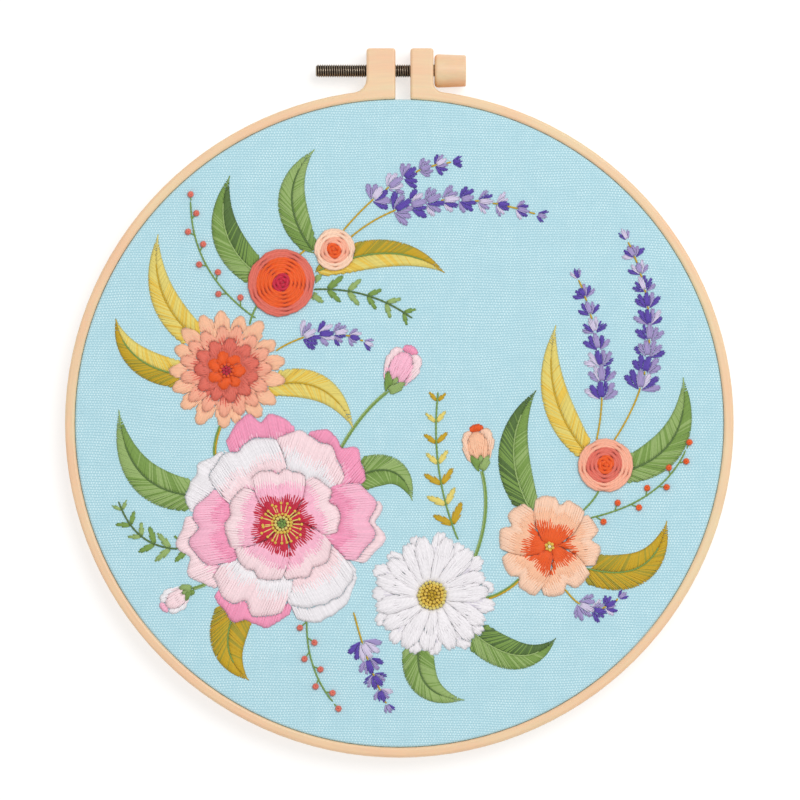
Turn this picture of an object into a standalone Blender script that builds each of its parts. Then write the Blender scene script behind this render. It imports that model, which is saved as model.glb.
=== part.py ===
# Embroidery hoop with a round of cloth stretched in it, lying on its back.
# Metres, +Z up: the back rims rest on z = 0, the cloth faces +Z and the clamp
# points to +Y. The origin is the bottom centre of the whole bounding box.
import math

import bmesh
import bpy

# Outer ring: a split band with a lug on each side of the split
OUTER_RADIUS = 0.1025
BAND_THICKNESS = 0.0030
RING_DEPTH = 0.0110
RIM_ROUNDING = 0.0008
LUG_TOP_FROM_CENTRE = 0.1152
LUG_CORNER_RADIUS = 0.0009
LEFT_FLARE_RADIUS = 0.0042
RIGHT_FLARE_RADIUS = 0.0030
SPLIT_LEFT_X = -0.0012
SPLIT_RIGHT_X = 0.0034
LEFT_LUG_WIDTH = 0.0089
RIGHT_LUG_WIDTH = 0.0071

# Gap left between neighbouring pieces
CLEARANCE = 0.0003

# Cloth: a disc with a skirt that runs down between the two rings
CLOTH_THICKNESS = 0.0010
CLOTH_BELOW_RIM = 0.0002
CLOTH_EDGE_RADIUS = 0.0013
CLOTH_HEM_HEIGHT = 0.0004

# Inner ring: the plain closed band inside the skirt
INNER_BAND_THICKNESS = 0.0030
INNER_RIM_ROUNDING = 0.0006

# Tension screw: a threaded rod through both lugs, with a moulded knob
SCREW_FROM_CENTRE = 0.1086
SCREW_RADIUS = 0.0020
SCREW_CHAMFER = 0.0004
SCREW_TIP_X = -0.0257
SCREW_DEPTH_IN_KNOB = 0.0065
BORE_RADIUS = SCREW_RADIUS + 0.00035
KNOB_LENGTH = 0.0097
KNOB_INNER_RADIUS = 0.00515
KNOB_OUTER_RADIUS = 0.00485
KNOB_INNER_ROUNDING = 0.0012
KNOB_OUTER_ROUNDING = 0.0005
SOCKET_RADIUS = SCREW_RADIUS + CLEARANCE

# Facets
RING_STEPS = 120
CORNER_STEPS = 4
SCREW_STEPS = 28
KNOB_STEPS = 40

# Worked out from the sizes above
INNER_RADIUS = OUTER_RADIUS - BAND_THICKNESS
RING_CENTRE_Y = (OUTER_RADIUS - LUG_TOP_FROM_CENTRE) / 2
LEFT_LUG_X = SPLIT_LEFT_X - LEFT_LUG_WIDTH
RIGHT_LUG_X = SPLIT_RIGHT_X + RIGHT_LUG_WIDTH
KNOB_X = RIGHT_LUG_X + CLEARANCE


def clear_scene():
    for item in list(bpy.data.objects):
        bpy.data.objects.remove(item, do_unlink=True)


def make_material(name, colour, roughness, metallic=0.0):
    material = bpy.data.materials.new(name)
    material.use_nodes = True
    shader = material.node_tree.nodes["Principled BSDF"]
    shader.inputs["Base Color"].default_value = (*colour, 1.0)
    shader.inputs["Roughness"].default_value = roughness
    shader.inputs["Metallic"].default_value = metallic
    return material


def add_empty(name, location, parent=None, rotation=(0.0, 0.0, 0.0)):
    empty = bpy.data.objects.new(name, None)
    empty.location = location
    empty.rotation_euler = rotation
    empty.parent = parent
    bpy.context.scene.collection.objects.link(empty)
    return empty


def add_object(name, shape, material, parent):
    """Turns a bmesh into a smooth-shaded object with outward faces."""
    bmesh.ops.recalc_face_normals(shape, faces=shape.faces)
    mesh = bpy.data.meshes.new(name)
    shape.to_mesh(mesh)
    shape.free()
    mesh.shade_smooth()
    mesh.set_sharp_from_angle(angle=math.radians(35))
    mesh.materials.append(material)
    piece = bpy.data.objects.new(name, mesh)
    piece.parent = parent
    bpy.context.scene.collection.objects.link(piece)
    return piece


def arc(centre, radius, start, end, steps):
    """Points along an arc, both ends included; angles in degrees."""
    points = []
    for step in range(steps + 1):
        angle = math.radians(start + (end - start) * step / steps)
        points.append((centre[0] + radius * math.cos(angle), centre[1] + radius * math.sin(angle)))
    return points


def ring_arc(radius, start, end):
    """An arc about the ring's centre, with a point at each whole ring step between its ends."""
    step = 360 / RING_STEPS
    # A whole step closer to an end than this share of a step would leave a sliver
    spare = 0.2
    whole = range(math.ceil(start / step + spare), math.floor(end / step - spare) + 1)
    angles = [start] + [index * step for index in whole] + [end]
    return [(radius * math.cos(math.radians(a)), radius * math.sin(math.radians(a))) for a in angles]


def extrude_outline(points, depth):
    """A closed outline in XY, raised from z = 0 to depth."""
    shape = bmesh.new()
    corners = [shape.verts.new((x, y, 0.0)) for x, y in points]
    base = shape.faces.new(corners)
    raised = bmesh.ops.extrude_face_region(shape, geom=[base])
    top = [item for item in raised["geom"] if isinstance(item, bmesh.types.BMVert)]
    bmesh.ops.translate(shape, verts=top, vec=(0.0, 0.0, depth))
    return shape


def turn_profile(profile, steps, closed):
    """Turns (radius, z) points about Z. An open profile gets a flat face at each end."""
    shape = bmesh.new()
    loops = []
    for radius, z in profile:
        circle = arc((0.0, 0.0), radius, 0.0, 360.0, steps)[:-1]
        loops.append([shape.verts.new((x, y, z)) for x, y in circle])
    pairs = list(zip(loops, loops[1:]))
    if closed:
        pairs.append((loops[-1], loops[0]))
    for lower, upper in pairs:
        for index in range(steps):
            following = (index + 1) % steps
            shape.faces.new((lower[index], lower[following], upper[following], upper[index]))
    if not closed:
        shape.faces.new(loops[0])
        shape.faces.new(loops[-1])
    return shape


def rounded_box_profile(inner, outer, bottom, top, radius, steps):
    """A rectangle with rounded corners, as (radius, z) points of a turned band."""
    points = []
    corners = (
        (inner + radius, bottom + radius, 180.0),
        (outer - radius, bottom + radius, 270.0),
        (outer - radius, top - radius, 0.0),
        (inner + radius, top - radius, 90.0),
    )
    for x, z, start in corners:
        points += arc((x, z), radius, start, start + 90.0, steps)
    return points


def flare(side_x, direction, radius):
    """The fillet between a lug's straight side and the ring's outer circle.

    Returns its centre, and the angle of its end on the circle, both seen from the ring's centre.
    """
    centre_x = side_x + direction * radius
    centre_y = math.sqrt((OUTER_RADIUS + radius) ** 2 - centre_x ** 2)
    return (centre_x, centre_y), math.degrees(math.atan2(centre_y, centre_x))


def outer_ring_outline():
    """One closed loop: round the outside, over the right lug, back round the inside, over the left lug."""
    top = LUG_TOP_FROM_CENTRE - LUG_CORNER_RADIUS
    split_right = math.degrees(math.acos(SPLIT_RIGHT_X / INNER_RADIUS))
    split_left = math.degrees(math.acos(SPLIT_LEFT_X / INNER_RADIUS))
    right_centre, right_angle = flare(RIGHT_LUG_X, 1, RIGHT_FLARE_RADIUS)
    left_centre, left_angle = flare(LEFT_LUG_X, -1, LEFT_FLARE_RADIUS)

    outline = ring_arc(OUTER_RADIUS, left_angle - 360.0, right_angle)
    outline += arc(right_centre, RIGHT_FLARE_RADIUS, right_angle + 180.0, 180.0, CORNER_STEPS)[1:]
    outline += arc((RIGHT_LUG_X - LUG_CORNER_RADIUS, top), LUG_CORNER_RADIUS, 0.0, 90.0, CORNER_STEPS)
    outline += arc((SPLIT_RIGHT_X + LUG_CORNER_RADIUS, top), LUG_CORNER_RADIUS, 90.0, 180.0, CORNER_STEPS)
    outline += list(reversed(ring_arc(INNER_RADIUS, split_left - 360.0, split_right)))
    outline += arc((SPLIT_LEFT_X - LUG_CORNER_RADIUS, top), LUG_CORNER_RADIUS, 0.0, 90.0, CORNER_STEPS)
    outline += arc((LEFT_LUG_X + LUG_CORNER_RADIUS, top), LUG_CORNER_RADIUS, 90.0, 180.0, CORNER_STEPS)
    outline += arc(left_centre, LEFT_FLARE_RADIUS, 0.0, left_angle - 180.0, CORNER_STEPS)[:-1]
    return outline


def make_outer_ring(hoop, material):
    ring = add_object("outer_ring", extrude_outline(outer_ring_outline(), RING_DEPTH), material, hoop)
    bevel = ring.modifiers.new("rounded rims", "BEVEL")
    bevel.width = RIM_ROUNDING
    bevel.segments = 3
    bevel.limit_method = "ANGLE"
    bevel.angle_limit = math.radians(60)
    bore = ring.modifiers.new("screw bore", "BOOLEAN")
    bore.operation = "DIFFERENCE"
    bore.object = make_bore_cutter(hoop, material)
    return ring


def make_bore_cutter(hoop, material):
    """A rod through both lugs, longer than the clamp is wide."""
    margin = 0.003
    start = LEFT_LUG_X - margin
    length = RIGHT_LUG_X - LEFT_LUG_X + 2 * margin
    shape = turn_profile([(BORE_RADIUS, 0.0), (BORE_RADIUS, length)], SCREW_STEPS, closed=False)
    cutter = add_object("bore_cutter", shape, material, hoop)
    cutter.location = (start, SCREW_FROM_CENTRE, RING_DEPTH / 2)
    cutter.rotation_euler = (0.0, math.pi / 2, 0.0)
    cutter.hide_render = True
    cutter.display_type = "WIRE"
    return cutter


def make_inner_ring(hoop, material):
    outer = INNER_RADIUS - 2 * CLEARANCE - CLOTH_THICKNESS
    top = RING_DEPTH - CLOTH_BELOW_RIM - CLOTH_THICKNESS - CLEARANCE
    profile = rounded_box_profile(
        outer - INNER_BAND_THICKNESS, outer, 0.0, top, INNER_RIM_ROUNDING, CORNER_STEPS - 1
    )
    return add_object("inner_ring", turn_profile(profile, RING_STEPS, closed=True), material, hoop)


def make_cloth(hoop, material):
    """One cup-shaped sheet: the stretched disc, its turned edge and the skirt."""
    outer = INNER_RADIUS - CLEARANCE
    inner = outer - CLOTH_THICKNESS
    top = RING_DEPTH - CLOTH_BELOW_RIM
    centre = (outer - CLOTH_EDGE_RADIUS, top - CLOTH_EDGE_RADIUS)
    fold = CLOTH_EDGE_RADIUS - CLOTH_THICKNESS
    profile = arc(centre, CLOTH_EDGE_RADIUS, 90.0, 0.0, CORNER_STEPS)
    profile += [(outer, CLOTH_HEM_HEIGHT), (inner, CLOTH_HEM_HEIGHT)]
    profile += arc(centre, fold, 0.0, 90.0, CORNER_STEPS)
    return add_object("cloth", turn_profile(profile, RING_STEPS, closed=False), material, hoop)


def make_screw(axis, material):
    end = KNOB_X + SCREW_DEPTH_IN_KNOB
    profile = [
        (SCREW_RADIUS - SCREW_CHAMFER, SCREW_TIP_X),
        (SCREW_RADIUS, SCREW_TIP_X + SCREW_CHAMFER),
        (SCREW_RADIUS, end - SCREW_CHAMFER),
        (SCREW_RADIUS - SCREW_CHAMFER, end),
    ]
    return add_object("screw", turn_profile(profile, SCREW_STEPS, closed=False), material, axis)


def make_knob(axis, material):
    """A slightly tapered round knob with a blind socket for the screw's end."""
    end = KNOB_X + KNOB_LENGTH
    socket_floor = KNOB_X + SCREW_DEPTH_IN_KNOB + CLEARANCE
    profile = [(SOCKET_RADIUS, socket_floor), (SOCKET_RADIUS, KNOB_X)]
    profile += arc(
        (KNOB_INNER_RADIUS - KNOB_INNER_ROUNDING, KNOB_X + KNOB_INNER_ROUNDING),
        KNOB_INNER_ROUNDING, 270.0, 360.0, CORNER_STEPS,
    )
    profile += arc(
        (KNOB_OUTER_RADIUS - KNOB_OUTER_ROUNDING, end - KNOB_OUTER_ROUNDING),
        KNOB_OUTER_ROUNDING, 0.0, 90.0, CORNER_STEPS - 1,
    )
    return add_object("knob", turn_profile(profile, KNOB_STEPS, closed=False), material, axis)


def main():
    clear_scene()
    ring_plastic = make_material("ring_plastic", (0.86, 0.61, 0.39), 0.45)
    inner_plastic = make_material("inner_plastic", (0.84, 0.62, 0.42), 0.48)
    knob_plastic = make_material("knob_plastic", (0.85, 0.62, 0.43), 0.42)
    steel = make_material("dark_steel", (0.13, 0.09, 0.07), 0.35, metallic=0.9)
    cotton = make_material("blue_cotton", (0.50, 0.76, 0.84), 0.85)

    hoop = add_empty("hoop_centre", (0.0, RING_CENTRE_Y, 0.0))
    # Local Z of this empty is the screw's axis, which runs along world X
    axis = add_empty(
        "screw_axis", (0.0, SCREW_FROM_CENTRE, RING_DEPTH / 2), hoop, (0.0, math.pi / 2, 0.0)
    )
    make_outer_ring(hoop, ring_plastic)
    make_inner_ring(hoop, inner_plastic)
    make_cloth(hoop, cotton)
    make_screw(axis, steel)
    make_knob(axis, knob_plastic)
    bpy.context.view_layer.update()


main()
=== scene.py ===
import math
import random

import bpy
import numpy as np
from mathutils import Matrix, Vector


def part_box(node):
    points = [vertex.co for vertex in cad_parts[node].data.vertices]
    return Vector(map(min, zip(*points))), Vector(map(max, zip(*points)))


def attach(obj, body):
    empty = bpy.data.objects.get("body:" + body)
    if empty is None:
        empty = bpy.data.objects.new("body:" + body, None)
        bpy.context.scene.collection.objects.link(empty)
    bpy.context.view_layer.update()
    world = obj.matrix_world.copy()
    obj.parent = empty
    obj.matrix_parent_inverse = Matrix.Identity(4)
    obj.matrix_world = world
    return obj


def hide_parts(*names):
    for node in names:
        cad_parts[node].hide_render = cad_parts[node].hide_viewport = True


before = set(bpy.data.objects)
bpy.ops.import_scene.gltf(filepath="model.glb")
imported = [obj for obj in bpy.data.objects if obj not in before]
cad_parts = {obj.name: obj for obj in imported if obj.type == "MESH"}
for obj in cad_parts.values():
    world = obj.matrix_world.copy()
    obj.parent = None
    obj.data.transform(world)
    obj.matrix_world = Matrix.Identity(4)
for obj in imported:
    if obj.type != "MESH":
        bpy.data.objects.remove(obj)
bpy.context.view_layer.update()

# Where things are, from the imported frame
clothLow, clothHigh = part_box("cloth")
ringLow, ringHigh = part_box("outer_ring")
innerLow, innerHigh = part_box("inner_ring")
screwLow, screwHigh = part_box("screw")
hoopCentre = Vector(((clothLow.x + clothHigh.x) / 2, (clothLow.y + clothHigh.y) / 2, 0))
clothRadius = (clothHigh.x - clothLow.x) / 2
clothTop = clothHigh.z
mm = 0.001


def srgb(code):
    # "#rrggbb" to linear
    parts = [int(code[i:i + 2], 16) / 255 for i in (1, 3, 5)]
    return tuple(p / 12.92 if p <= 0.04045 else ((p + 0.055) / 1.055) ** 2.4 for p in parts)


def rgba(code):
    return (*srgb(code), 1.0)


# small helpers for node trees

def newMaterial(name):
    material = bpy.data.materials.new(name)
    material.use_nodes = True
    tree = material.node_tree
    return material, tree, tree.nodes["Principled BSDF"]


def plug(tree, value, socket):
    if isinstance(value, bpy.types.NodeSocket):
        tree.links.new(value, socket)
    else:
        socket.default_value = value


def maths(tree, operation, first, second=0.0, third=None):
    made = tree.nodes.new("ShaderNodeMath")
    made.operation = operation
    plug(tree, first, made.inputs[0])
    plug(tree, second, made.inputs[1])
    if third is not None:
        plug(tree, third, made.inputs[2])
    return made.outputs[0]


def mixColour(tree, factor, first, second, blend="MIX"):
    made = tree.nodes.new("ShaderNodeMix")
    made.data_type = "RGBA"
    made.blend_type = blend
    plug(tree, factor, made.inputs["Factor"])
    plug(tree, first, made.inputs["A"])
    plug(tree, second, made.inputs["B"])
    return made.outputs["Result"]


def noise(tree, vector, scale, detail=2.0, rough=0.5):
    made = tree.nodes.new("ShaderNodeTexNoise")
    plug(tree, vector, made.inputs["Vector"])
    made.inputs["Scale"].default_value = scale
    made.inputs["Detail"].default_value = detail
    made.inputs["Roughness"].default_value = rough
    return made.outputs["Fac"]


def combine(tree, x, y, z=0.0):
    made = tree.nodes.new("ShaderNodeCombineXYZ")
    for value, socket in zip((x, y, z), made.inputs):
        plug(tree, value, socket)
    return made.outputs[0]


def spread(tree, value, low, high, outLow=0.0, outHigh=1.0):
    made = tree.nodes.new("ShaderNodeMapRange")
    plug(tree, value, made.inputs["Value"])
    for name, number in zip(("From Min", "From Max", "To Min", "To Max"), (low, high, outLow, outHigh)):
        made.inputs[name].default_value = number
    return made.outputs["Result"]


def bump(tree, height, distance, strength=1.0):
    made = tree.nodes.new("ShaderNodeBump")
    plug(tree, height, made.inputs["Height"])
    made.inputs["Distance"].default_value = distance
    made.inputs["Strength"].default_value = strength
    return made.outputs["Normal"]


def uvOf(tree, name):
    made = tree.nodes.new("ShaderNodeUVMap")
    made.uv_map = name
    split = tree.nodes.new("ShaderNodeSeparateXYZ")
    tree.links.new(made.outputs[0], split.inputs[0])
    return split.outputs[0], split.outputs[1]


def addObject(name, mesh, material):
    mesh.materials.append(material)
    item = bpy.data.objects.new(name, mesh)
    bpy.context.scene.collection.objects.link(item)
    return item


studio = {
    "floorTone": "#b4b4b3",
    "floorGlow": 0.62,       # the lit floor is nearly white, and its shadows stay soft and pale
    "skyStrength": 0.62,
    "lampPower": 17.0,
    "lampPlace": (0.55, 0.62, 1.75),
    "lampSize": 1.1,
    "cameraDistance": 3.0,
    "cameraTilt": 3.0,       # degrees off straight down, towards the lower rim
    "viewWidth": 0.2452,
    "viewCentre": (0.0002, 0.0006),
}


def buildStudio():
    scene = bpy.context.scene
    scene.view_settings.view_transform = "Standard"
    world = bpy.data.worlds.new("studioSky")
    scene.world = world
    world.use_nodes = True
    sky = world.node_tree.nodes["Background"]
    sky.inputs["Color"].default_value = (1.0, 1.0, 1.0, 1.0)
    sky.inputs["Strength"].default_value = studio["skyStrength"]

    size = 4.0
    mesh = bpy.data.meshes.new("floor")
    corners = [(-size, -size, 0), (size, -size, 0), (size, size, 0), (-size, size, 0)]
    mesh.from_pydata(corners, [], [(0, 1, 2, 3)])
    material, tree, shader = newMaterial("floorPaint")
    where = tree.nodes.new("ShaderNodeTexCoord").outputs["Object"]
    tone = mixColour(tree, noise(tree, where, 3.0), rgba(studio["floorTone"]), rgba("#b7b7b7"))
    tree.links.new(tone, shader.inputs["Base Color"])
    shader.inputs["Roughness"].default_value = 0.9
    shader.inputs["Specular IOR Level"].default_value = 0.1
    shader.inputs["Emission Color"].default_value = (1.0, 1.0, 1.0, 1.0)
    shader.inputs["Emission Strength"].default_value = studio["floorGlow"]
    floor = addObject("floor", mesh, material)
    floor.location.z = -0.0002

    lamp = bpy.data.lights.new("softbox", "AREA")
    lamp.energy = studio["lampPower"]
    lamp.shape = "DISK"
    lamp.size = studio["lampSize"]
    lampObject = bpy.data.objects.new("softbox", lamp)
    lampObject.location = studio["lampPlace"]
    aim = hoopCentre - Vector(studio["lampPlace"])
    lampObject.rotation_euler = aim.to_track_quat("-Z", "Y").to_euler()
    scene.collection.objects.link(lampObject)

    camera = bpy.data.cameras.new("camera")
    camera.sensor_width = 36.0
    camera.lens = camera.sensor_width * studio["cameraDistance"] / studio["viewWidth"]
    camera.clip_end = 20.0
    cameraObject = bpy.data.objects.new("camera", camera)
    tilt = math.radians(studio["cameraTilt"])
    target = Vector((*studio["viewCentre"], ringHigh.z))
    back = Vector((0.0, -math.sin(tilt), math.cos(tilt)))
    cameraObject.location = target + back * studio["cameraDistance"]
    cameraObject.rotation_euler = (tilt, 0.0, 0.0)
    scene.collection.objects.link(cameraObject)
    scene.camera = cameraObject


buildStudio()
print("studio ready")


plastic = {
    "peach": "#f0c8a0",
    "cream": "#ecd2a8",
    "warm": "#f2c19c",
    "roughness": 0.42,
    "streakLength": 14.0,    # how much longer the streaks are than wide
}


def mouldedPlastic(name, around, darken=1.0):
    # around: "hoop" runs the streaks along the band, "knob" along the screw
    material, tree, shader = newMaterial(name)
    split = tree.nodes.new("ShaderNodeSeparateXYZ")
    where = tree.nodes.new("ShaderNodeTexCoord").outputs["Object"]
    tree.links.new(where, split.inputs[0])
    x, y, z = split.outputs
    if around == "hoop":
        localY = maths(tree, "SUBTRACT", y, hoopCentre.y)
        angle = maths(tree, "ARCTAN2", localY, x)
        radius = maths(tree, "SQRT", maths(tree, "ADD", maths(tree, "POWER", x, 2.0), maths(tree, "POWER", localY, 2.0)))
        along = maths(tree, "MULTIPLY", angle, clothRadius)
        stretched = combine(tree, maths(tree, "DIVIDE", along, plastic["streakLength"]), radius, z)
    else:
        stretched = combine(tree, maths(tree, "DIVIDE", x, 4.0), y, z)
    broad = noise(tree, stretched, 260.0, 3.0)
    fine = noise(tree, stretched, 1500.0, 2.0)
    patches = noise(tree, where, 45.0, 1.0)
    tone = mixColour(tree, spread(tree, broad, 0.38, 0.62), rgba(plastic["peach"]), rgba(plastic["cream"]))
    tone = mixColour(tree, spread(tree, patches, 0.45, 0.7, 0.0, 0.6), tone, rgba(plastic["warm"]))
    shade = spread(tree, fine, 0.3, 0.7, 0.96 * darken, 1.02 * darken)
    tone = mixColour(tree, 1.0, tone, combine(tree, shade, shade, shade), "MULTIPLY")
    tree.links.new(tone, shader.inputs["Base Color"])
    tree.links.new(spread(tree, fine, 0.3, 0.7, plastic["roughness"] - 0.06, plastic["roughness"] + 0.08), shader.inputs["Roughness"])
    shader.inputs["Subsurface Weight"].default_value = 0.08
    shader.inputs["Subsurface Radius"].default_value = (0.002, 0.0014, 0.0008)
    shader.inputs["Subsurface Scale"].default_value = 0.5
    grain = noise(tree, where, 2600.0, 2.0)
    tree.links.new(bump(tree, grain, 0.00003, 0.6), shader.inputs["Normal"])
    return material


def dress(nodeName, material):
    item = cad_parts[nodeName]
    item.data.materials.clear()
    item.data.materials.append(material)
    item.data.shade_smooth()
    item.data.set_sharp_from_angle(angle=math.radians(35))


dress("outer_ring", mouldedPlastic("ringPlastic", "hoop"))
dress("inner_ring", mouldedPlastic("innerPlastic", "hoop", 0.97))
dress("knob", mouldedPlastic("knobPlastic", "knob", 0.98))
print("rings and knob dressed")


cloth = {
    "warpPitch": 0.414 * mm,     # fine threads that run up and down
    "weftPitch": 0.787 * mm,     # thicker ones that run across
    "crownHighlight": "#e2fbff",
    "mid": "#bde3ed",
    "poreShade": "#8fc2d0",
    "wander": 1.6,               # threads that the weave drifts sideways, over several centimetres
    "around": 288,
    "ringsOut": 64,
    "thickness": 0.55 * mm,
    "edgeRadius": 0.85 * mm,
    "proud": 0.22 * mm,          # how much wider the cloth is than its plain solid
}


def weaveMaterial():
    material, tree, shader = newMaterial("blueCotton")
    u, v = uvOf(tree, "weave")
    where = tree.nodes.new("ShaderNodeTexCoord").outputs["Object"]

    def drift(seed, scale, amount):
        moved = tree.nodes.new("ShaderNodeVectorMath")
        moved.operation = "ADD"
        tree.links.new(where, moved.inputs[0])
        moved.inputs[1].default_value = (seed, 2.7 * seed, 0.3)
        return spread(tree, noise(tree, moved.outputs[0], scale, 2.0), 0.25, 0.75, -amount, amount)

    u = maths(tree, "ADD", maths(tree, "DIVIDE", u, cloth["warpPitch"]), drift(3.1, 16.0, cloth["wander"]))
    v = maths(tree, "ADD", maths(tree, "DIVIDE", v, cloth["weftPitch"]), drift(8.3, 16.0, cloth["wander"]))
    # each thread is a little uneven, too
    u = maths(tree, "ADD", u, drift(5.7, 900.0, 0.14))
    v = maths(tree, "ADD", v, drift(6.9, 900.0, 0.14))
    cellU, cellV = maths(tree, "FLOOR", u), maths(tree, "FLOOR", v)

    def crown(value):
        # 0 at a thread's edges, 1 along its middle
        across = maths(tree, "SUBTRACT", maths(tree, "MULTIPLY", maths(tree, "FRACT", value), 2.0), 1.0)
        return maths(tree, "SUBTRACT", 1.0, maths(tree, "MULTIPLY", across, across))

    crownU, crownV = crown(u), crown(v)
    parity = maths(tree, "FLOORED_MODULO", maths(tree, "ADD", cellU, cellV), 2.0)
    both = maths(tree, "SQRT", maths(tree, "MULTIPLY", crownU, crownV))
    warpOver = maths(tree, "MULTIPLY", both, 1.0)
    weftOver = maths(tree, "MULTIPLY", both, 0.55)
    height = mixColour(tree, parity, weftOver, warpOver)

    def threadTone(cell, seed):
        made = tree.nodes.new("ShaderNodeTexWhiteNoise")
        made.noise_dimensions = "1D"
        tree.links.new(maths(tree, "ADD", cell, seed), made.inputs["W"])
        return made.outputs["Value"]

    tone = maths(tree, "ADD", threadTone(cellU, 17.3), threadTone(cellV, 91.7))
    tone = spread(tree, tone, 0.0, 2.0, 0.985, 1.015)
    fuzz = spread(tree, noise(tree, where, 2600.0, 2.0), 0.3, 0.7, 0.93, 1.05)
    # the colour darkens where the threads sink between crowns: painted shade in the weave's hollows
    colour = mixColour(tree, spread(tree, height, 0.05, 0.5), rgba(cloth["poreShade"]), rgba(cloth["mid"]))
    # the highest crowns are lightened towards a pale colour, in random patches: painted highlight
    patch = spread(tree, noise(tree, where, 210.0, 1.0), 0.3, 0.7, 0.35, 1.0)
    glint = maths(tree, "MULTIPLY", spread(tree, height, 0.5, 0.95), patch)
    colour = mixColour(tree, glint, colour, rgba(cloth["crownHighlight"]))
    tone = maths(tree, "MULTIPLY", tone, fuzz)
    colour = mixColour(tree, 1.0, colour, combine(tree, tone, tone, tone), "MULTIPLY")
    tree.links.new(colour, shader.inputs["Base Color"])
    shader.inputs["Roughness"].default_value = 0.85
    shader.inputs["Specular IOR Level"].default_value = 0.2
    shader.inputs["Sheen Weight"].default_value = 0.15
    shader.inputs["Sheen Roughness"].default_value = 0.5
    tree.links.new(bump(tree, height, 0.00009, 0.7), shader.inputs["Normal"])
    return material


def buildCloth():
    # a closed thin cup: disc, turned edge, skirt between the rings, and the same back up inside
    thick, edge = cloth["thickness"], cloth["edgeRadius"]
    outer = clothRadius + cloth["proud"]
    hem = clothLow.z
    profile = []             # radius, height, distance run along the cloth from its centre
    flatRadius = outer - edge
    for step in range(cloth["ringsOut"] + 1):
        radius = flatRadius * step / cloth["ringsOut"]
        profile.append((radius, clothTop, radius))
    run = flatRadius
    for step in range(1, 7):
        angle = math.pi / 2 * (1 - step / 6)
        run += edge * math.pi / 2 / 6
        profile.append((flatRadius + edge * math.cos(angle), clothTop - edge + edge * math.sin(angle), run))
    rows = 8
    depth = clothTop - edge - hem
    for step in range(1, rows + 1):
        profile.append((outer, clothTop - edge - depth * step / rows, run + depth * step / rows))
    outward = list(profile)
    inward = []
    for radius, z, distance in reversed(outward):
        if z <= clothTop - edge + 1e-9:
            inward.append((outer - thick, z, distance))
        elif radius > flatRadius + 1e-9:
            angle = math.atan2(z - (clothTop - edge), radius - flatRadius)
            inner = edge - thick
            inward.append((flatRadius + inner * math.cos(angle), clothTop - edge + inner * math.sin(angle), distance))
        else:
            inward.append((radius, clothTop - thick, distance))
    loops = outward[1:] + inward[:-1]
    around = cloth["around"]
    turn = np.arange(around) * 2 * math.pi / around
    points, weaveUv = [], []
    for radius, z, distance in loops:
        points.append(np.stack([radius * np.cos(turn), radius * np.sin(turn), np.full(around, z)], 1))
        weaveUv.append(np.stack([distance * np.cos(turn), distance * np.sin(turn)], 1))
    topPole, underPole = len(loops) * around, len(loops) * around + 1
    points.append(np.array([[0, 0, clothTop], [0, 0, clothTop - thick]]))
    weaveUv.append(np.zeros((2, 2)))
    points = np.concatenate(points)
    weaveUv = np.concatenate(weaveUv)
    points[:, :2] += np.array(hoopCentre[:2])
    faces = []
    for row in range(len(loops) - 1):
        for i in range(around):
            j = (i + 1) % around
            faces.append((row * around + i, (row + 1) * around + i, (row + 1) * around + j, row * around + j))
    last = (len(loops) - 1) * around
    for i in range(around):
        j = (i + 1) % around
        faces.append((topPole, i, j))
        faces.append((underPole, last + j, last + i))
    mesh = bpy.data.meshes.new("stretchedCloth")
    mesh.from_pydata(points.tolist(), [], faces)
    layer = mesh.uv_layers.new(name="weave")
    corner = np.zeros(len(mesh.loops), np.int32)
    mesh.loops.foreach_get("vertex_index", corner)
    layer.data.foreach_set("uv", weaveUv[corner].astype(np.float32).ravel())
    # the same map again, shrunk to fit a square, for a picture of the whole cloth
    square = mesh.uv_layers.new(name="OFBake")
    wide = 2.02 * float(np.abs(weaveUv).max())
    square.data.foreach_set("uv", (weaveUv[corner] / wide + 0.5).astype(np.float32).ravel())
    mesh.shade_smooth()
    made = addObject("stretchedCloth", mesh, weaveMaterial())
    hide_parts("cloth")
    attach(made, "hoop")
    return made


stretchedCloth = buildCloth()
print("cloth stretched")


thread = {
    "width": 0.46,           # the embroidery's sizes are in mm, from the middle of the cloth
    "thick": 0.34,
    "spacing": 0.37,
    "sides": 6,
    "uneven": 0.05,          # how far one thread's tone strays from the next
    "twist": 1.5,
}

threadColours = {
    "white": "#f4f0f3", "blush": "#fbe0e4", "rosePink": "#fbbdd3", "pink": "#f79fc0", "crimson": "#c9203f",
    "coral": "#e2705f", "salmon": "#f6b094", "apricot": "#f9c3a0", "peach": "#fbd3b8", "orange": "#ec5c1c",
    "violet": "#5f47ac", "lilac": "#a899cb", "paleLilac": "#d9cfe8", "cream": "#f6ecc4", "gold": "#e9c64f",
    "mustard": "#c8a41c", "straw": "#e6d473", "sage": "#98b36b", "leafGreen": "#7b9c4a", "darkGreen": "#557238",
    "olive": "#a99a2a", "dove": "#dfd9e4",
}

dice = np.random.default_rng(20)
covered = []                 # outlines already sewn: what comes later is sewn only beside them


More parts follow.
